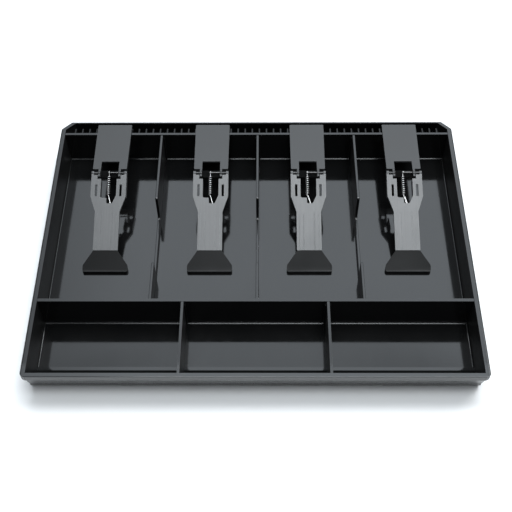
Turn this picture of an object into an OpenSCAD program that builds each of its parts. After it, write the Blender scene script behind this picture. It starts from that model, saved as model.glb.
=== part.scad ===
// Cash drawer insert: a moulded tray with four note bays, three coin cups and
// four sprung hold-down clips. Millimetres, Z up, X to the right, Y to the back.
// The origin is at the centre of the footprint, on the surface it stands on.

/* [Tray] */
// Width across the rim
tray_w = 325; // [318:0.5:335]
// Depth across the rim, front to back
tray_d = 240; // [236:0.5:246]
// Height of the rim above the table
tray_h = 32; // [31:0.5:36]
// Thickness of the floor
floor_t = 2; // [1.6:0.1:2.4]
// Thickness of the side walls
wall_t = 2.2; // [1.8:0.1:2.6]
// How far the rim stands out past the walls
lip_out = 1.6; // [1.2:0.1:2]
// Radius of the side rims' outer upper edge
rim_r = 1.2; // [0.6:0.1:1.4]
// Radius of the front rim's outer upper edge
front_edge = 0.5; // [0.3:0.1:1.2]
// Height of the rim's outer lip
lip_h = 5; // [4:0.5:7]
// Thickness of the rear wall
back_t = 1.4; // [1.2:0.1:1.8]
// Cut across each rear corner
corner_cut = 8.5; // [6:0.5:11]
// Radius of the front corners
front_r = 4; // [3:0.5:6]
// Radius of the coves between walls and floor
cove_r = 1.5; // [1:0.25:2.5]
// Radius of the coves along the side walls
side_cove = 1; // [0.6:0.1:1.2]

/* [Compartments] */
// How far the inner walls stop below the rim
wall_drop = 0.5; // [0.3:0.1:1.5]
// Distance from the front edge to the cross wall
coin_depth = 62; // [58:0.5:66]
// Thickness of the cross wall
cross_t = 2.4; // [2:0.1:3]
// Radius of the scooped front of the coin cups
scoop_r = 13; // [11:0.5:16]
// Lean of the coin cups' front wall from upright, degrees
scoop_lean = 22; // [18:1:25]
// Half distance between the two coin dividers
coin_x = 53; // [48:0.5:58]
// Distance from the middle note divider to its neighbours
bill_x = 79.6; // [78.5:0.1:80.5]
// Middle note divider's distance to the right of the tray's middle
bill_mid = 1.2; // [0:0.2:2]
// Thickness of the note dividers
bill_t = 2; // [1.6:0.1:2.4]
// Height of the note dividers' low toe above the floor
toe_h = 5; // [4:0.5:7]
// Height of the note dividers' front wall above the floor
front_h = 19; // [16:0.5:24]

/* [Rear channel] */
// Distance from the rear edge to the channel wall's front face
channel_y = 14; // [13.5:0.25:15]
// Thickness of the channel wall
channel_t = 2; // [1.6:0.1:2.4]
// Pitch of the locating ribs
rib_pitch = 5.9; // [5.8:0.05:6]
// Thickness of a locating rib
rib_t = 1; // [0.8:0.1:1.2]

/* [Clips] */
// Width of the clip base and of the arm's fork
clip_w = 28; // [26:0.5:30]
// Thickness of the clip base's top plate
plate_t = 1.6; // [1.4:0.1:2]
// Width of the arm's shank
shank_w = 19.4; // [18.6:0.2:20]
// Slope of the arm at rest, degrees below level
arm_slope = 18.2; // [17.6:0.2:19]
// Width of the foot pad
foot_w = 35.2; // [32:0.2:35.4]
// Height of the foot pad's front edge
pad_t = 2.4; // [2:0.1:2.8]
// Thickness of the arm
arm_t = 2; // [1.8:0.1:2.4]
// Radius of the hinge lugs
lug_r = 0.9; // [0.8:0.05:1]
// Radial clearance of the hinge
lug_clear = 0.06; // [0.03:0.01:0.09]
// Radius of the pin that holds the spring
pin_r = 0.55; // [0.5:0.05:0.7]
// Diameter of the spring wire
wire_d = 0.6; // [0.5:0.05:0.7]
// Outside diameter of the spring
spring_od = 2.8; // [2.6:0.1:3.2]

/* [Hidden] */

xo = tray_w/2 - lip_out;          // outer face of the side walls
xi = xo - wall_t;                 // inner face of the side walls
yf = -tray_d/2;                   // front edge of the rim
yb = tray_d/2;                    // rear edge of the rim
z_in = tray_h - wall_drop;        // top of the inner walls
y_ch = yb - channel_y;            // front face of the channel wall
y_cb = y_ch + channel_t;          // rear face of the channel wall
y_rear = yb - back_t;             // inner face of the rear wall
k_in = xo + yb - corner_cut - 1.6*sqrt(2); // line of the channel's cut corners
y_x0 = yf + coin_depth;           // front face of the cross wall
y_x1 = y_x0 + cross_t;            // rear face of the cross wall
gap = 0.15;                       // clearance of the clip-in pieces
y_step = yb - 82;                 // front end of a note divider's tall part
y_toe = yb - 136;                 // front end of its low toe, where its front wall starts
cc = cove_r + 0.2;                // corner cut of the dividers, clear of the coves
bills = [bill_mid - bill_x, bill_mid, bill_mid + bill_x]; // the three note dividers
tab_l = 8;                        // length of the dividers' floor tabs

// Clips hang at fixed slots of the ribbed channel
clip_0 = -118.3;
slots = [0, 14, 27, 40];
play = [0.7, -0.4, 0.8, 0.8];     // where each clip sits in the play of its slot
function clip_x(i) = clip_0 + slots[i]*rib_pitch + play[i];

// Hinge line of the arms, and the spring's two ends
cy = yb - 54.2;                   // reference line of the clips
hy = cy - 2.4;
hz = tray_h + 0.6;
pin_y = hy + 2;
pin_z = hz - 1.9;
arm_l = 65.4;                     // length of the arm from the hinge line
// a point of the arm, l along it from the hinge line and v above its middle (Y, Z)
function arm_p(l, v) = [hy - l*cos(arm_slope) - v*sin(arm_slope), hz - l*sin(arm_slope) + v*cos(arm_slope)];
peg_l = 26.65;                    // the peg's distance along the arm, and below its middle
peg_v = -2.75;
peg_y = arm_p(peg_l, peg_v)[0];
peg_z = arm_p(peg_l, peg_v)[1];
peg_r = 0.6;
// longest distance from pin to peg over the arm's swing
peg_far = norm([peg_y - hy, peg_z - hz]) + norm([pin_y - hy, pin_z - hz]);

// ---- outlines ----
// Plan of the tray: cut rear corners, round front corners
function arc(c, r, a0, a1, n) = [for (i = [0:n]) let(a = a0 + (a1 - a0)*i/n) c + r*[cos(a), sin(a)]];
function plan(hx, f, b, cut, r) = concat(
  arc([-hx + r, f + r], r, 180, 270, 8),
  arc([hx - r, f + r], r, 270, 360, 8),
  [[hx, b - cut], [hx - cut, b], [-hx + cut, b], [-hx, b - cut]]);

// Inside of the coin cups' scooped front, from the floor up (Y, Z), moved in by e
y_sc = yf + 3.24 + scoop_r*cos(scoop_lean) + (tray_h - floor_t - scoop_r + scoop_r*sin(scoop_lean))*tan(scoop_lean);
function scoop(e = 0) = let(c = [y_sc, floor_t + scoop_r], r = scoop_r - e,
    m = 90 - scoop_lean, a = c + r*[-sin(m), -cos(m)])
  concat([for (i = [0:10]) c + r*[-sin(m*i/10), -cos(m*i/10)]],
    [a + ((tray_h + 1 - a[1])/sin(m))*[-cos(m), sin(m)]]);

// Outside of the tray from the side (Y, Z)
foot_r = 6;
function side_out() = concat(
  [[yb, 0], [yb, tray_h - 0.4], [yb - 0.4, tray_h]],
  arc([yf + front_edge, tray_h - front_edge], front_edge, 90, 180, 6),
  [[yf, tray_h - lip_h], [yf + lip_out + 0.4, tray_h - lip_h]],
  arc([yf + 14, foot_r], foot_r, 170, 270, 8));
// Outside of the tray from the front (X, Z)
function front_out() = concat([[tray_w/2, 0]],
  arc([tray_w/2 - rim_r, tray_h - rim_r], rim_r, 0, 90, 6),
  arc([rim_r - tray_w/2, tray_h - rim_r], rim_r, 90, 180, 6), [[-tray_w/2, 0]]);

// ---- small shared shapes ----
// Extrude a Y-Z outline along X, from x0 to x1
module along_x(x0, x1, p) {
  translate([x0, 0, 0]) rotate([90, 0, 90]) linear_extrude(x1 - x0) polygon(p);
}
module rod_x(x0, x1, y, z, r) {
  translate([x0, y, z]) rotate([0, 90, 0]) cylinder(r = r, h = x1 - x0, $fn = 48);
}
module box(x0, x1, y0, y1, z0, z1) {
  translate([x0, y0, z0]) cube([x1 - x0, y1 - y0, z1 - z0]);
}
// Cove strip along X on the floor, hollow side towards +Y (s = 1) or -Y (s = -1)
module cove_x(x0, x1, y, s) {
  translate([x0, y, floor_t]) rotate([90, 0, 90]) linear_extrude(x1 - x0) difference() {
    translate([s > 0 ? 0 : -cove_r, 0]) square(cove_r);
    translate([s*cove_r, cove_r]) circle(r = cove_r, $fn = 32);
  }
}
// Cove strip along Y on the floor, hollow side towards +X (s = 1) or -X (s = -1)
module cove_y(y0, y1, x, s) {
  translate([x, y1, floor_t]) rotate([90, 0, 0]) linear_extrude(y1 - y0) difference() {
    translate([s > 0 ? 0 : -side_cove, 0]) square(side_cove);
    translate([s*side_cove, side_cove]) circle(r = side_cove, $fn = 32);
  }
}
// ---- tray ----
module tray_shell() {
  difference() {
    intersection() {
      union() {
        linear_extrude(tray_h) polygon(plan(xo, yf + lip_out, yb - 0.4, corner_cut - 0.4, front_r));
        linear_extrude(tray_h) intersection() {
          polygon(plan(xo, yf, yb - 0.4, corner_cut - 0.4, front_r));
          translate([-tray_w, yf - 1]) square([2*tray_w, 20]);
        }
        // overhanging rim
        translate([0, 0, tray_h - lip_h]) linear_extrude(lip_h) polygon(plan(tray_w/2, yf, yb, corner_cut, front_r));
      }
      along_x(-tray_w, tray_w, side_out());
      translate([0, yb + 1, 0]) rotate([90, 0, 0]) linear_extrude(tray_d + 2) polygon(front_out());
    }
    // note bays
    box(-xi, xi, y_x1, y_ch, floor_t, tray_h + 1);
    // coin cups with their scooped front
    along_x(-xi, xi, concat([[y_x0, tray_h + 1], [y_x0, floor_t]], scoop()));
    // rear channel, with its corners cut like the outside
    translate([0, 0, floor_t]) linear_extrude(tray_h) {
      polygon([[-xi, y_cb], [xi, y_cb], [xi, k_in - xi], [k_in - y_rear, y_rear],
        [y_rear - k_in, y_rear], [-xi, k_in - xi]]);
    }
    // top of the front rim falls a little to the inside
    along_x(-xi, xi, [[yf + 0.7, tray_h + 0.02], [yf + 8, tray_h - 0.62], [yf + 8, tray_h + 0.02]]);
    // inner walls stop below the rim
    box(-xi, xi, y_x0 - 1, y_cb + 1, z_in, tray_h + 1);
    // slots for the dividers' tabs
    for (x = bills, y = [y_toe - 24, y_step - 30, y_step + 12, y_ch - 16])
      box(x - bill_t/2 - gap, x + bill_t/2 + gap, y - gap, y + tab_l + gap, -1, floor_t + 1);
    for (x = [-coin_x, coin_x])
      box(x - 0.95 - gap, x + 0.95 + gap, y_x0 - 18 - gap, y_x0 - 18 + tab_l + gap, -1, floor_t + 1);
  }
}
module tray_body() {
  color("#25272a") {
    tray_shell();
    // locating ribs behind the channel wall
    for (k = [-7:46]) let(x = clip_0 + (k + 0.5)*rib_pitch)
      if (abs(x) < xi - 3) along_x(x - rib_t/2, x + rib_t/2, [[y_cb - 0.5, floor_t - 0.5],
        [y_cb + 6.2, floor_t - 0.5], [y_cb + 6.2, z_in - 1.6], [y_cb - 0.5, z_in - 0.7]]);
    // grooves that hold the note dividers at the channel wall and at the cross wall
    for (x = bills, s = [-1, 1]) translate([x + s*(bill_t/2 + gap + 0.5), 0, 0]) {
      box(-0.5, 0.5, y_ch - 1.6, y_ch + 0.5, floor_t - 0.5, z_in - 3);
      box(-0.5, 0.5, y_x1 - 0.5, y_x1 + 1.6, floor_t - 0.5, floor_t + front_h - 3);
    }
    // grooves that hold the coin dividers at the cross wall
    for (x = [-coin_x, coin_x], s = [-1, 1]) translate([x + s*(0.95 + gap + 0.5), 0, 0])
      box(-0.5, 0.5, y_x0 - 1.6, y_x0 + 0.5, floor_t - 0.5, z_in - 3);
    // coves at the foot of the walls
    cove_x(-xi, xi, y_ch, -1);
    cove_x(-xi, xi, y_x1, 1);
    cove_x(-xi, xi, y_x0, -1);
    for (s = [-1, 1]) {
      cove_y(y_x1, y_ch, s*xi, -s);
      cove_y(y_sc, y_x0, s*xi, -s);
    }
  }
}

// ---- dividers ----
// Tall rear part, step with a small hollow, low toe, front wall (Y, Z)
function bill_side() = concat(
  [[y_ch - gap - cc, floor_t], [y_ch - gap, floor_t + cc], [y_ch - gap, z_in - 0.4]],
  arc([y_step + 1.5, z_in - 1.9], 1.5, 90, 180, 5),
  arc([y_step - 2.5, floor_t + toe_h + 2.5], 2.5, 0, -90, 6),
  arc([y_toe + 1, floor_t + toe_h + 1], 1, 270, 180, 4),
  arc([y_toe - 0.8, floor_t + front_h - 0.8], 0.8, 0, 90, 4),
  [[y_x1 + gap, floor_t + front_h], [y_x1 + gap, floor_t + cc], [y_x1 + gap + cc, floor_t]]);
module bill_divider(x) {
  color("#2b2d30") {
    along_x(x - bill_t/2, x + bill_t/2, bill_side());
    for (y = [y_toe - 24, y_step - 30, y_step + 12, y_ch - 16])
      box(x - bill_t/2, x + bill_t/2, y, y + tab_l, 0.3, floor_t + 1);
  }
}
module coin_divider(x) {
  color("#2b2d30") {
    intersection() {
      along_x(x - 0.95, x + 0.95, concat([[y_x0 - gap, tray_h + 1], [y_x0 - gap, floor_t + cc],
        [y_x0 - gap - cc, floor_t], [y_sc, floor_t]], scoop(0.1)));
      box(x - 2, x + 2, yf, y_x0, 0, z_in);
    }
    box(x - 0.95, x + 0.95, y_x0 - 18, y_x0 - 18 + tab_l, 0.3, floor_t + 1);
  }
}

// ---- clips ----
notch_w = 14.4;    // width of the notch in the base
prong_in = 7.3;    // inner face of a prong, from the clip's middle
prong_out = 8.9;   // outer face of a prong
leg_in = 9.3;      // inner face of the arm's legs beside the prongs
lug_x = 12.2;      // inner face of the arm's ears
y_base0 = cy + 1.4;           // front edge of the base
y_base1 = yb - 4.5;           // rear edge of the base
module clip_base(i) {
  x = clip_x(i);
  color("#6a6c6f") translate([x, 0, 0]) {
    // top plate with the notch in its front edge
    translate([0, 0, z_in]) linear_extrude(plate_t) difference() {
      polygon([[0.9 - clip_w/2, y_base0], [clip_w/2 - 0.9, y_base0], [clip_w/2 - 0.4, y_base0 + 0.5], [clip_w/2, y_base1 - 0.6],
        [clip_w/2 - 0.6, y_base1], [0.6 - clip_w/2, y_base1], [-clip_w/2, y_base1 - 0.6], [0.4 - clip_w/2, y_base0 + 0.5]]);
      translate([-notch_w/2, y_base0 - 1]) square([notch_w, 9]);
    }
    // turned-down edges
    for (s = [-1, 1]) translate([s*(clip_w/2 - 1.1), 0, 0]) {
      box(-0.7, 0.7, y_base0 + 0.4, y_ch - 4, z_in - 3, z_in + 0.5);
    }
    // skirt behind the hinge, lower in the notch and bevelled there towards the back
    for (s = [-1, 1]) mirror([s < 0 ? 1 : 0, 0, 0]) box(prong_in, clip_w/2 - 1.2, y_base0 + 0.1, y_base0 + 1.1, z_in - 9, z_in + 0.5);
    along_x(-prong_in - 0.5, prong_in + 0.5, [[y_base0 + 0.1, z_in - 9], [y_base0 + 1.1, z_in - 9],
      [y_base0 + 1.1, z_in - 2.3], [y_base0 + 0.1, z_in - 0.7]]);
    box(0.5 - clip_w/2, clip_w/2 - 0.5, y_base0 + 12, y_base0 + 13.4, z_in - 3, z_in + 0.5);
    // tongues between the channel's ribs, and the leg in front of its wall
    for (s = [-1, 1]) box(s*rib_pitch - 1.4, s*rib_pitch + 1.4, y_cb + gap, y_cb + 4.4, 14, z_in + 0.5);
    box(-12, 12, y_ch - gap - 2.4, y_ch - gap, z_in - 8, z_in + 0.5);
    // prongs with the hinge lugs
    for (s = [-1, 1]) mirror([s < 0 ? 1 : 0, 0, 0]) {
      difference() {
        union() {
          along_x(prong_in, prong_out, concat(
            [[y_base0 + 6, z_in + 0.5], [y_base0 + 6, pin_z - 1.4], [pin_y - 1, pin_z - 1.4]],
            arc([hy - 2.85, hz - 0.45], 0.85, 270, 90, 8),
            [[y_base0, hz + 0.4], [y_base0, z_in + 0.5]]));
          rod_x(prong_in, prong_out, hy, hz, lug_r + 0.45);
        }
        if (s > 0) rod_x(prong_in - 1, prong_out + 1, pin_y, pin_z, pin_r);
      }
      rod_x(prong_out - 0.5, clip_w/2 - 0.2, hy, hz, lug_r);
    }
  }
}

// ---- arm ----
// Shapes on the arm are drawn level, with the hinge line at the origin, and then sloped
module on_arm() { translate([0, hy, hz]) rotate([arm_slope, 0, 0]) children(); }
function rev(l) = [for (i = [len(l) - 1:-1:0]) l[i]];
function both(l) = concat(l, [for (p = rev(l)) [-p[0], p[1]]]);
// Plan of the arm: two legs with ears, fork, shank
module arm_plan() {
  difference() {
    polygon(both([[lug_x, 0], [clip_w/2, 0], [clip_w/2, -20.3], [shank_w/2, -33.3], [shank_w/2, -arm_l]]));
    // opening of the fork, with the spring's notch at its end
    polygon([[-6.3, 1], [-6.3, -20.6], [-5.3, -21.5], [-1.4, -21.7], [-1.2, -25.7], [-0.4, -26.35],
      [3.0, -26.35], [3.8, -25.4], [6.3, -19.4], [6.3, 1]]);
    // room for the prongs, and for the lugs beside them
    translate([-leg_in, -5.4]) square([2*leg_in, 10]);
    translate([-lug_x, -2]) square([2*lug_x, 10]);
    // side slots
    for (s = [-1, 1]) translate([s*9.7 - 0.95, -20.3]) square([1.9, 10]);
  }
}
module clip_arm(i) {
  color("#7d7f82") translate([clip_x(i), 0, 0]) on_arm() difference() {
    union() {
      translate([0, 0, -arm_t/2]) linear_extrude(arm_t) arm_plan();
      for (s = [-1, 1]) mirror([s < 0 ? 1 : 0, 0, 0]) {
        // ears on the lugs
        rod_x(lug_x, clip_w/2, 0, 0, lug_r + 0.65);
        // deep side walls of the ears and of the fork's legs
        box(lug_x, clip_w/2, -20, 0.5, -4.5, 0);
        // deep flanges along the fork's opening
        box(6.3, 7.4, -20, -5.8, -5.5, 0);
      }
      // peg that takes the spring's lower loop, held by two cheeks under the fork
      rod_x(-2.4, 4.7, -peg_l, peg_v, peg_r);
      for (x = [-2.9, 4.2]) box(x, x + 1, -peg_l - 1.05, 1.05 - peg_l, peg_v - 0.7, 0);
      // stub that plugs into the foot pad
      box(-6, 6, 1.5 - arm_l, 4.5 - arm_l, -1.85, 0);
    }
    for (s = [-1, 1]) mirror([s < 0 ? 1 : 0, 0, 0]) rod_x(lug_x - 1, clip_w/2 + 1, 0, 0, lug_r + lug_clear);
    // fine grooves along the shank
    for (gx = [-7.6, -4.6, -3.9, 3.9, 4.6, 7.6]) box(gx - 0.15, gx + 0.15, -arm_l - 1, -34.5, arm_t/2 - 0.25, arm_t/2 + 1);
  }
}

// Soft pad on the end of the arm: steeper than the arm, with a ledge along its front edge,
// a flat sole and a heel under the arm with a pocket for the arm's stub
pad_z = floor_t + 0.2;                      // underside of the foot pad
toe_y = cy - 79.2;                          // its front edge
y_heel = arm_p(arm_l, 0)[0] - 0.3;          // where it starts to widen
function pad_side() = [arm_p(arm_l + 0.1, 0.5), [toe_y + 1.4, pad_z + pad_t + 0.1], [toe_y, pad_z + pad_t], [toe_y, pad_z],
  [toe_y + 4, pad_z], arm_p(arm_l - 6.4, -2.3), arm_p(arm_l - 6.4, -1.1), arm_p(arm_l + 0.1, -1.1)];
function half_pad() = [[8.4, y_heel + 8], [8.4, y_heel], [shank_w/2 - 0.1, y_heel], [foot_w/2 - 0.3, toe_y + 5],
  [foot_w/2, toe_y + 3.8], [foot_w/2, toe_y + 1.2], [foot_w/2 - 0.4, toe_y + 0.4], [foot_w/2 - 1.2, toe_y]];
module clip_pad(i) {
  color("#1d1e20") translate([clip_x(i), 0, 0]) difference() {
    intersection() {
      translate([0, 0, pad_z - 1]) linear_extrude(20) polygon(both(half_pad()));
      along_x(-foot_w, foot_w, pad_side());
    }
    on_arm() box(-6.12, 6.12, 1.38 - arm_l, 4.62 - arm_l, -2, 3);
  }
}

// Spring in its own line: s runs from the pin towards the peg
sp_a = atan2(peg_z - pin_z, pin_y - peg_y);   // rise of the spring's line
wr = wire_d/2;
mr = spring_od/2 - wr;                        // mean radius of the coil
coil_0 = 3.2;
turns = 26;
coil_1 = coil_0 + turns*wire_d;
loop_r = 1.25;
skew = 16;                                    // sideways turn of the lower loop
loop_c = coil_1 + (peg_far + peg_r + 0.35 - coil_1)/cos(skew) - loop_r + wr; // centre of its round end
neck_c = coil_1 + 0.6 + loop_r;               // centre of its inner end
sp_x = -0.6;                                  // coil's distance from the clip's middle
module ring_x(r, w) { rotate([0, 90, 0]) rotate_extrude($fn = 48) translate([r, 0]) circle(r = w, $fn = 24); }
module clip_spring(i) {
  color("#c9cbcd") translate([clip_x(i) + sp_x, pin_y, pin_z]) rotate([-sp_a, 0, 0]) {
    // upper loop and neck
    ring_x(pin_r + 0.3 + wr, wr);
    rotate([90, 0, 0]) translate([0, 0, pin_r + 0.3 + wr]) cylinder(r = wr, h = coil_0 - pin_r, $fn = 24);
    // close-wound coil
    rotate([90, 0, 0]) translate([0, 0, coil_0]) {
      rotate_extrude($fn = 48) {
        for (k = [0:turns - 1]) translate([mr, (k + 0.5)*wire_d]) circle(r = wr, $fn = 24);
        translate([mr - wr/2, wire_d/2]) square([wr, (turns - 1)*wire_d]);
      }
      // end turns bent across the coil
      for (k = [0, turns - 1]) translate([-mr, -0.25, k*wire_d + 0.1]) cube([2*mr, 0.5, wire_d - 0.2]);
    }
    // neck and long lower loop
    translate([0, -coil_1, 0]) rotate([0, 0, skew]) translate([0, coil_1, 0]) {
      rotate([90, 0, 0]) translate([0, 0, coil_1 - 0.45]) cylinder(r = 0.9*wr, h = 1.2, $fn = 24);
      for (s = [-1, 1]) translate([0, 0, s*loop_r]) rotate([90, 0, 0]) translate([0, 0, neck_c]) cylinder(r = wr, h = loop_c - neck_c, $fn = 24);
      for (c = [neck_c, loop_c]) translate([0, -c, 0]) intersection() {
        ring_x(loop_r, wr);
        translate([-2, c == neck_c ? 0 : -4, -4]) cube([4, 4, 8]);
      }
    }
  }
}
module spring_pin(i) {
  color("#a8aaac") translate([clip_x(i), 0, 0]) rod_x(-1.4, prong_out, pin_y, pin_z, pin_r);
}

module bill_divider_left() { bill_divider(bills[0]); }
module bill_divider_centre() { bill_divider(bills[1]); }
module bill_divider_right() { bill_divider(bills[2]); }
module coin_divider_left() { coin_divider(-coin_x); }
module coin_divider_right() { coin_divider(coin_x); }

tray_body();
bill_divider_left();
bill_divider_centre();
bill_divider_right();
coin_divider_left();
coin_divider_right();
clip_base(0);  // clip_base_1
clip_base(1);  // clip_base_2
clip_base(2);  // clip_base_3
clip_base(3);  // clip_base_4
clip_arm(0);  // clip_arm_1
clip_arm(1);  // clip_arm_2
clip_arm(2);  // clip_arm_3
clip_arm(3);  // clip_arm_4
clip_pad(0);  // clip_pad_1
clip_pad(1);  // clip_pad_2
clip_pad(2);  // clip_pad_3
clip_pad(3);  // clip_pad_4
clip_spring(0);  // clip_spring_1
clip_spring(1);  // clip_spring_2
clip_spring(2);  // clip_spring_3
clip_spring(3);  // clip_spring_4
spring_pin(0);  // spring_pin_1
spring_pin(1);  // spring_pin_2
spring_pin(2);  // spring_pin_3
spring_pin(3);  // spring_pin_4
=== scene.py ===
import bpy, bmesh, math
from mathutils import Matrix, Vector


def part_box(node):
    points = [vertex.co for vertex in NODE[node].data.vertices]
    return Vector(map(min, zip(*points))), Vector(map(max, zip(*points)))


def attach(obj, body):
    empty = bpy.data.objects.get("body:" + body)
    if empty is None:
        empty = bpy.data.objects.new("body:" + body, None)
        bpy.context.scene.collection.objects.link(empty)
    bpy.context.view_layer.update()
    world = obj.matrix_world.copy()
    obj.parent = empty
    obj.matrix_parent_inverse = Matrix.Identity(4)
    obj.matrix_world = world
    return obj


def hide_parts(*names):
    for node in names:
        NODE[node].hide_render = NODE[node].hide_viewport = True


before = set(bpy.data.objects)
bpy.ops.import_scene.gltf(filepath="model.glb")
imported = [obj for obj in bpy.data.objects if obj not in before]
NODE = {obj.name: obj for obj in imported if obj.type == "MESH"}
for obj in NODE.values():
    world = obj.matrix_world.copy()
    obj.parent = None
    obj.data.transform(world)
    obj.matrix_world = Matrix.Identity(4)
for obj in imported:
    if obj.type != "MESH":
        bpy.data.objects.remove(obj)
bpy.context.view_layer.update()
scene = bpy.context.scene
MM = 0.001


# ---------------------------------------------------------------- camera
def make_camera():
    p, yaw, roll = (math.radians(a) for a in (54.52, 0.794, 0.672))
    turn = Matrix.Rotation(yaw, 3, "Z")
    fwd = turn @ Vector((0, math.cos(p), -math.sin(p)))
    right = turn @ Vector((1, 0, 0))
    down = turn @ Vector((0, -math.sin(p), -math.cos(p)))
    r2 = math.cos(roll) * right + math.sin(roll) * down
    d2 = -math.sin(roll) * right + math.cos(roll) * down
    cam = bpy.data.objects.new("camera", bpy.data.cameras.new("camera"))
    scene.collection.objects.link(cam)
    m = Matrix((r2, -d2, -fwd)).transposed().to_4x4()
    m.translation = Vector((5.915, -416.403, 590.996)) * MM
    cam.matrix_world = m
    cam.data.sensor_fit = "HORIZONTAL"
    cam.data.sensor_width = 36
    cam.data.lens = 36 * 914.70 / 512
    cam.data.clip_start, cam.data.clip_end = 0.01, 50
    scene.camera = cam


make_camera()


# ---------------------------------------------------------------- light
def area(name, loc, target, sx, sy, watts, colour=(1, 1, 1)):
    d = bpy.data.lights.new(name, "AREA")
    d.shape, d.size, d.size_y, d.energy, d.color = "RECTANGLE", sx, sy, watts, colour
    o = bpy.data.objects.new(name, d)
    scene.collection.objects.link(o)
    o.location = loc
    o.rotation_euler = (Vector(target) - Vector(loc)).to_track_quat("-Z", "Y").to_euler()
    return o


def make_world():
    """Soft studio dome: a broad bright band high at the back, dim at the front and at the horizon."""
    world = bpy.data.worlds.new("studio")
    scene.world = world
    world.use_nodes = True
    t = world.node_tree
    co = t.nodes.new("ShaderNodeTexCoord")
    sep = t.nodes.new("ShaderNodeSeparateXYZ")
    t.links.new(co.outputs["Generated"], sep.inputs[0])

    def ramp(axis, stops):
        """Strength along one axis of the view direction, mapped from -1..1."""
        r = t.nodes.new("ShaderNodeMapRange")
        r.inputs["From Min"].default_value = -1.0
        t.links.new(sep.outputs[axis], r.inputs["Value"])
        n = t.nodes.new("ShaderNodeValToRGB")
        t.links.new(r.outputs["Result"], n.inputs["Fac"])
        e = n.color_ramp.elements
        while len(e) < len(stops):
            e.new(0.5)
        for el, (pos, v) in zip(e, stops):
            el.position = (pos + 1) / 2
            el.color = (v, v, v, 1)
        return n.outputs["Color"]

    def times(a, b):
        n = t.nodes.new("ShaderNodeMath")
        n.operation = "MULTIPLY"
        t.links.new(a, n.inputs[0])
        t.links.new(b, n.inputs[1])
        return n.outputs[0]

    height = ramp("Z", ((-1.0, 0.05), (0.0, 0.05), (0.48, 0.10), (0.60, 0.80), (0.66, 0.95), (0.84, 1.0), (0.88, 0.75), (1.0, 0.62)))
    depth = ramp("Y", ((-1.0, 0.08), (-0.2, 0.10), (0.0, 0.35), (0.22, 0.95), (0.3, 1.0), (1.0, 1.0)))
    side = ramp("X", ((-1.0, 0.15), (-0.5, 0.2), (-0.3, 0.44), (-0.14, 0.95), (0.1, 1.0), (0.34, 1.03), (0.55, 0.3), (1.0, 0.15)))

    def fall(value, a, b, lo, hi):
        n = t.nodes.new("ShaderNodeMapRange")
        t.links.new(value, n.inputs["Value"])
        for k, v in (("From Min", a), ("From Max", b), ("To Min", lo), ("To Max", hi)):
            n.inputs[k].default_value = v
        return n.outputs["Result"]

    # the band's upper edge is rounded: narrower near the top
    across = t.nodes.new("ShaderNodeMath")
    across.operation = "ABSOLUTE"
    t.links.new(sep.outputs["X"], across.inputs[0])
    cut = times(fall(sep.outputs["Z"], 0.845, 0.868, 0.0, 1.0), fall(across.outputs[0], 0.05, 0.17, 0.0, 0.34))
    side = times(side, fall(cut, 0.0, 1.0, 1.0, 0.0))
    bg = t.nodes["Background"]
    bg.inputs["Color"].default_value = (0.855, 0.93, 1.0, 1)
    gain = t.nodes.new("ShaderNodeMath")
    gain.operation = "MULTIPLY"
    t.links.new(times(times(height, depth), side), gain.inputs[0])
    gain.inputs[1].default_value = 2.77
    t.links.new(gain.outputs[0], bg.inputs["Strength"])


make_world()
area("strip_front", (0.12, -0.95, 0.72), (0.03, 0.0, 0.02), 0.9, 0.06, 1.1, (0.94, 0.975, 1.0))
area("front_top", (0.15, -0.42, 1.4), (0.04, -0.12, 0), 0.9, 0.4, 10.8, (0.91, 0.965, 1.0))
area("overhead", (0.1, 0.26, 1.5), (0.02, 0.0, 0), 1.0, 0.44, 15, (0.935, 0.972, 1.0))
area("side_right", (0.95, 0.5, 1.4), (0, 0, 0), 0.6, 0.6, 6)
scene.view_settings.view_transform = "Standard"
scene.view_settings.look = "None"


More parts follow.
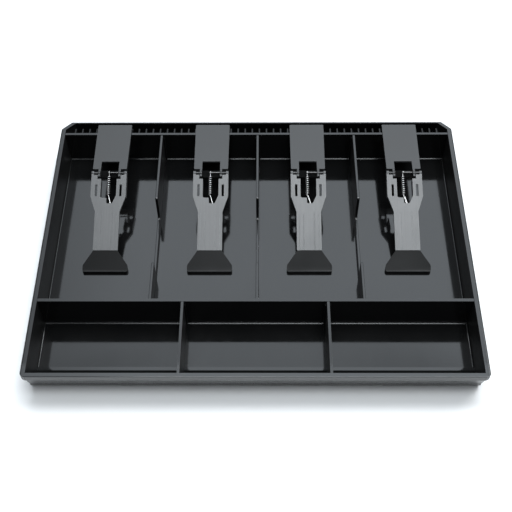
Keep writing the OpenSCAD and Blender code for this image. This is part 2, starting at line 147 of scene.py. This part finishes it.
# ---------------------------------------------------------------- materials
class Mat:
    """A material's node tree with short calls for the nodes used here."""

    def __init__(self, name):
        self.m = bpy.data.materials.new(name)
        self.m.use_nodes = True
        self.t = self.m.node_tree
        self.b = self.t.nodes["Principled BSDF"]
        self.co = self.t.nodes.new("ShaderNodeTexCoord").outputs["Object"]

    def new(self, kind, **props):
        n = self.t.nodes.new(kind)
        for k, v in props.items():
            setattr(n, k, v)
        return n

    def put(self, socket, value):
        if isinstance(value, bpy.types.NodeSocket):
            self.t.links.new(value, socket)
        else:
            socket.default_value = value

    def scaled(self, x, y, z):
        n = self.new("ShaderNodeMapping")
        self.put(n.inputs["Vector"], self.co)
        n.inputs["Scale"].default_value = (x, y, z)
        return n.outputs["Vector"]

    def noise(self, scale, detail=2.0, rough=0.5, vector=None, distort=0.0):
        n = self.new("ShaderNodeTexNoise")
        self.put(n.inputs["Vector"], vector or self.co)
        n.inputs["Scale"].default_value = scale
        n.inputs["Detail"].default_value = detail
        n.inputs["Roughness"].default_value = rough
        n.inputs["Distortion"].default_value = distort
        return n.outputs["Fac"]

    def range(self, value, a, b, lo, hi):
        n = self.new("ShaderNodeMapRange", clamp=True)
        self.put(n.inputs["Value"], value)
        for k, v in (("From Min", a), ("From Max", b), ("To Min", lo), ("To Max", hi)):
            self.put(n.inputs[k], v)
        return n.outputs["Result"]

    def math(self, op, a, b=0.0):
        n = self.new("ShaderNodeMath", operation=op)
        self.put(n.inputs[0], a)
        self.put(n.inputs[1], b)
        return n.outputs[0]

    def mix(self, fac, a, b):
        n = self.new("ShaderNodeMix", data_type="RGBA")
        self.put(n.inputs["Factor"], fac)
        self.put(n.inputs["A"], a)
        self.put(n.inputs["B"], b)
        return n.outputs["Result"]

    def edge(self, radius, lo=0.02, hi=0.25):
        """1 on convex and concave edges, 0 on flat ground."""
        bev = self.new("ShaderNodeBevel", samples=4)
        bev.inputs["Radius"].default_value = radius
        geo = self.new("ShaderNodeNewGeometry")
        dot = self.new("ShaderNodeVectorMath", operation="DOT_PRODUCT")
        self.put(dot.inputs[0], bev.outputs["Normal"])
        self.put(dot.inputs[1], geo.outputs["Normal"])
        return self.range(dot.outputs["Value"], 1 - lo, 1 - hi, 0.0, 1.0)

    def bump(self, height, strength, distance, normal=None):
        n = self.new("ShaderNodeBump")
        n.inputs["Strength"].default_value = strength
        n.inputs["Distance"].default_value = distance
        self.put(n.inputs["Height"], height)
        if normal:
            self.put(n.inputs["Normal"], normal)
        return n.outputs["Normal"]


def grey(v, warm=0.0):
    return (v * (1 + warm), v, v * (1 - warm), 1)


def gloss_plastic(name, base=0.004, rough=(0.06, 0.11), side=0.36):
    k = Mat(name)
    blotch = k.noise(16, 4, 0.55)
    speck = k.noise(900, 2, 0.6)
    smear = k.noise(1, 5, 0.6, k.scaled(70, 22, 70), 0.6)
    # edges painted lighter: partly rubbed wear, partly a painted highlight along every convex and concave edge
    edge_wear_and_highlight = k.math("MULTIPLY", k.edge(0.0005), k.range(k.noise(140, 4, 0.65), 0.42, 0.62, 0.15, 1.0))
    tone = k.mix(k.range(blotch, 0.35, 0.65, 0, 1), grey(base * 0.86, -0.03), grey(base * 1.18, -0.02))
    dust = k.range(speck, 0.70, 0.82, 0.0, 0.03)
    tone = k.mix(dust, tone, grey(0.11, 0.02))
    # the outside of the front is grained, made rougher below; its front face and the rim's top there are also
    # painted lighter than the black plastic, as painted light
    axis = k.new("ShaderNodeSeparateXYZ")
    k.put(axis.inputs[0], k.new("ShaderNodeTexCoord").outputs["Normal"])
    where = k.new("ShaderNodeSeparateXYZ")
    k.put(where.inputs[0], k.co)
    outside = k.range(where.outputs["Y"], -0.112, -0.108, 1.0, 0.0)
    front = k.math("MULTIPLY", outside, k.range(axis.outputs["Y"], -0.5, -0.9, 0.0, 1.0))
    tone = k.mix(front, tone, grey(0.05, -0.02))
    # painted highlight: the front rim's top is painted lighter
    top = k.math("MULTIPLY", outside, k.range(axis.outputs["Z"], 0.5, 0.9, 0.0, 1.0))
    tone = k.mix(top, tone, grey(0.024, -0.03))
    k.put(k.b.inputs["Base Color"], k.mix(k.math("MULTIPLY", edge_wear_and_highlight, 0.5), tone, grey(0.035, -0.01)))
    r = k.range(smear, 0.3, 0.7, rough[0], rough[1])
    # faces drawn past the mould's sides are scuffed
    r = k.math("ADD", r, k.range(k.math("ABSOLUTE", axis.outputs["X"]), 0.12, 0.6, 0.0, side))
    # the coves are a little duller than the walls
    r = k.math("ADD", r, k.math("MULTIPLY", front, 0.14))
    cove = k.math("MULTIPLY", k.range(axis.outputs["Y"], -0.15, -0.4, 0.0, 0.14), k.range(axis.outputs["Z"], 0.15, 0.4, 0.0, 1.0))
    r = k.math("ADD", r, k.math("MULTIPLY", cove, k.math("SUBTRACT", 1.0, outside)))
    r = k.math("ADD", r, k.math("MULTIPLY", edge_wear_and_highlight, 0.16))
    k.put(k.b.inputs["Roughness"], k.math("ADD", r, k.math("MULTIPLY", dust, 1.2)))
    n1 = k.bump(k.noise(420, 2, 0.5), 0.05, 0.00004)
    k.put(k.b.inputs["Normal"], k.bump(k.noise(4200, 1, 0.5), 0.05, 0.00002, n1))
    k.b.inputs["IOR"].default_value = 1.52
    return k.m


def satin_plastic(name, base, rough, streak=0.0, grain=0.22, spec=0.5):
    k = Mat(name)
    blotch = k.noise(40, 3, 0.55)
    fine = k.noise(5200, 2, 0.6)
    # edges painted lighter: partly rubbed wear, partly a painted highlight along every convex and concave edge
    edge_wear_and_highlight = k.math("MULTIPLY", k.edge(0.0006), k.range(k.noise(220, 4, 0.65), 0.36, 0.6, 0.35, 1.0))
    tone = k.mix(k.range(blotch, 0.3, 0.7, 0, 1), grey(base * 0.93, -0.015), grey(base * 1.07, -0.015))
    if streak:
        lines = k.noise(1, 3, 0.6, k.scaled(1500, 22, 22))
        tone = k.mix(k.range(lines, 0.3, 0.7, 0.0, streak), tone, grey(base * 1.7, -0.01))
    tone = k.mix(k.range(fine, 0.62, 0.75, 0.0, 0.25), tone, grey(base * 1.5, 0.0))
    k.put(k.b.inputs["Base Color"], k.mix(k.math("MULTIPLY", edge_wear_and_highlight, 0.55), tone, grey(min(0.5, base * 2.2 + 0.02), -0.01)))
    r = k.range(blotch, 0.3, 0.7, rough - 0.05, rough + 0.05)
    k.put(k.b.inputs["Roughness"], k.math("ADD", r, k.math("MULTIPLY", edge_wear_and_highlight, -0.08)))
    n1 = k.bump(fine, grain, 0.00003)
    k.put(k.b.inputs["Normal"], k.bump(k.noise(700, 2, 0.5), 0.08, 0.00003, n1))
    k.b.inputs["IOR"].default_value = 1.5
    k.b.inputs["Specular IOR Level"].default_value = spec
    return k.m


def steel(name, base, rough, ring):
    k = Mat(name)
    scratch = k.noise(1, 4, 0.6, k.scaled(*ring))
    tarnish = k.noise(500, 3, 0.6)
    k.put(k.b.inputs["Base Color"], k.mix(k.range(tarnish, 0.45, 0.75, 0.0, 0.5), grey(base, 0.01), grey(base * 0.5, 0.04)))
    k.put(k.b.inputs["Roughness"], k.range(scratch, 0.3, 0.7, rough - 0.07, rough + 0.1))
    k.put(k.b.inputs["Normal"], k.bump(scratch, 0.15, 0.00002))
    k.b.inputs["Metallic"].default_value = 1.0
    return k.m


TRAY = gloss_plastic("tray_gloss_black")
DIVIDER = gloss_plastic("divider_gloss_black", 0.0042, (0.07, 0.12))
BASE = satin_plastic("clip_base_satin", 0.03, 0.36)
ARM = satin_plastic("clip_arm_satin", 0.072, 0.40, 0.3)
PAD = satin_plastic("pad_rubber", 0.004, 0.42, 0.0, 0.15, 0.16)
SPRING = steel("spring_wire", 0.8, 0.38, (900, 900, 900))
PIN = steel("pin_steel", 0.13, 0.36, (60, 1800, 1800))


def paint(o, m):
    o.data.materials.clear()
    o.data.materials.append(m)


# ---------------------------------------------------------------- moulded pieces
def smooth_group():
    """Welds a part's faces and shades it smooth."""
    g = bpy.data.node_groups.new("weld_and_smooth", "GeometryNodeTree")
    g.interface.new_socket("Geometry", in_out="INPUT", socket_type="NodeSocketGeometry")
    g.interface.new_socket("Geometry", in_out="OUTPUT", socket_type="NodeSocketGeometry")
    a, z = g.nodes.new("NodeGroupInput"), g.nodes.new("NodeGroupOutput")
    w = g.nodes.new("GeometryNodeMergeByDistance")
    w.inputs["Distance"].default_value = 2e-6
    s = g.nodes.new("GeometryNodeSetShadeSmooth")
    g.links.new(a.outputs[0], w.inputs["Geometry"])
    g.links.new(w.outputs["Geometry"], s.inputs["Geometry"])
    g.links.new(s.outputs["Geometry"], z.inputs[0])
    return g


SMOOTH = smooth_group()


def moulded(o, width, segments=2):
    """Small radii on every edge of a moulded part, with even shading."""
    m = o.modifiers.new("weld", "NODES")
    m.node_group = SMOOTH
    m = o.modifiers.new("planes", "DECIMATE")
    m.decimate_type, m.angle_limit = "DISSOLVE", math.radians(0.6)
    m = o.modifiers.new("edges", "BEVEL")
    m.width, m.segments, m.limit_method, m.angle_limit = width, segments, "ANGLE", math.radians(28)
    m.use_clamp_overlap = True
    m = o.modifiers.new("normals", "WEIGHTED_NORMAL")
    m.keep_sharp, m.weight = False, 60


for name, o in NODE.items():
    if name == "tray_body":
        paint(o, TRAY)
        moulded(o, 0.28 * MM)
    elif "divider" in name:
        paint(o, DIVIDER)
        moulded(o, 0.3 * MM)
    elif name.startswith("clip_base"):
        paint(o, BASE)
        moulded(o, 0.22 * MM)
    elif name.startswith("clip_arm"):
        paint(o, ARM)
        moulded(o, 0.22 * MM)
    elif name.startswith("clip_pad"):
        paint(o, PAD)
        moulded(o, 0.4 * MM)
    elif name.startswith("spring_pin"):
        paint(o, PIN)
        moulded(o, 0.15 * MM)


# ---------------------------------------------------------------- springs
def tube(name, path, r, sides=10):
    """A closed wire of radius r along a line of points."""
    bm = bmesh.new()
    pts = [Vector(p) for p in path]
    tan = [(pts[min(i + 1, len(pts) - 1)] - pts[max(i - 1, 0)]).normalized() for i in range(len(pts))]
    nrm = tan[0].orthogonal().normalized()
    rings = []
    for i, p in enumerate(pts):
        nrm = (nrm - tan[i] * nrm.dot(tan[i])).normalized()
        side = tan[i].cross(nrm)
        rings.append([bm.verts.new(p + r * (math.cos(a) * nrm + math.sin(a) * side))
                      for a in (2 * math.pi * k / sides for k in range(sides))])
    for a, b in zip(rings, rings[1:]):
        for k in range(sides):
            bm.faces.new((a[k], a[(k + 1) % sides], b[(k + 1) % sides], b[k]))
    for ring, t, flip in ((rings[0], -tan[0], True), (rings[-1], tan[-1], False)):
        inner = [bm.verts.new(v.co * 0.45 + (sum((w.co for w in ring), Vector()) / sides) * 0.55 + t * r * 0.45) for v in ring]
        for k in range(sides):
            f = (ring[k], ring[(k + 1) % sides], inner[(k + 1) % sides], inner[k])
            bm.faces.new(f)
        bm.faces.new(inner)
    bmesh.ops.recalc_face_normals(bm, faces=bm.faces)
    me = bpy.data.meshes.new(name)
    bm.to_mesh(me)
    bm.free()
    me.polygons.foreach_set("use_smooth", [True] * len(me.polygons))
    o = bpy.data.objects.new(name, me)
    scene.collection.objects.link(o)
    return o


HY, HZ, SLOPE = 63.4, 32.6, math.radians(18.2)
PIN_Y, PIN_Z = HY + 2.0, HZ - 1.9
PEG_Y = HY - 26.65 * math.cos(SLOPE) + 2.75 * math.sin(SLOPE)
PEG_Z = HZ - 26.65 * math.sin(SLOPE) - 2.75 * math.cos(SLOPE)
RISE = math.atan2(PEG_Z - PIN_Z, PIN_Y - PEG_Y)
FAR = math.hypot(PEG_Y - HY, PEG_Z - HZ) + math.hypot(PIN_Y - HY, PIN_Z - HZ)


def spring_points():
    """(x, s, n) along the wire: s runs from the pin to the peg, n is up from that line."""
    wr, mr, s0, s1, turns = 0.3, 1.1, 3.0, 18.9, 9
    up, low, lean = 0.95, 1.18, math.tan(math.radians(16))
    end = FAR + 0.6 + 0.1 - low + wr
    pts = []
    # hook round the pin: from its open end, over the far side, back towards the coil
    for i in range(25):
        a = math.radians(40 + 275 * i / 24)
        pts.append((0.25 - 0.25 * i / 24, up * math.cos(a), up * math.sin(a)))
    # neck into the first turn
    last = pts[-1]
    start = (0.0, s0, -mr)
    for i in range(1, 9):
        t = i / 9
        e = t * t * (3 - 2 * t)
        pts.append((0.0, last[1] + (start[1] - last[1]) * t, last[2] + (start[2] - last[2]) * e))
    # coil
    steps = turns * 24
    for i in range(steps + 1):
        t = i / steps
        a = -math.pi / 2 + 2 * math.pi * turns * t
        pts.append((mr * math.cos(a), s0 + (s1 - s0) * t, mr * math.sin(a)))
    # neck and the long lower loop round the peg, turned a little to the side
    neck = s1 + 0.9 + low
    tail = []
    for i in range(1, 8):
        t = i / 8
        tail.append((s1 + (neck - s1) * t, -mr + (-low + mr) * t))
    for i in range(9):
        tail.append((neck + (end - neck) * i / 8, -low))
    for i in range(1, 13):
        a = math.radians(-90 + 180 * i / 12)
        tail.append((end + low * math.cos(a), low * math.sin(a)))
    for i in range(1, 8):
        tail.append((end + (neck + 0.4 - end) * i / 7, low))
    return pts + [(lean * (c - s1), c, n) for c, n in tail]


LINE = spring_points()
D = Vector((0, -math.cos(RISE), math.sin(RISE)))
U = Vector((0, math.sin(RISE), math.cos(RISE)))
for i in range(1, 5):
    lo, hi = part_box(f"spring_pin_{i}")
    cx = hi.x - (8.9 + 0.6) * MM
    org = Vector((cx, PIN_Y * MM, PIN_Z * MM))
    path = [org + MM * (Vector((x, 0, 0)) + s * D + n * U) for x, s, n in LINE]
    o = tube(f"spring_{i}", path, 0.3 * MM)
    paint(o, SPRING)
    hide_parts(f"clip_spring_{i}")
    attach(o, f"clip_spring_{i}")


# ---------------------------------------------------------------- floor
def make_floor():
    k = Mat("floor_paper")
    n = k.noise(3, 3, 0.5)
    k.put(k.b.inputs["Base Color"], k.mix(n, grey(0.86), grey(0.9)))
    k.put(k.b.inputs["Roughness"], k.range(k.noise(60, 3, 0.6), 0.3, 0.7, 0.7, 0.85))
    me = bpy.data.meshes.new("floor")
    s = 6.0
    me.from_pydata([(-s, -s, 0), (s, -s, 0), (s, s, 0), (-s, s, 0)], [], [(0, 1, 2, 3)])
    o = bpy.data.objects.new("floor", me)
    scene.collection.objects.link(o)
    o.location.z = -0.0002
    paint(o, k.m)


make_floor()

bpy.context.view_layer.update()
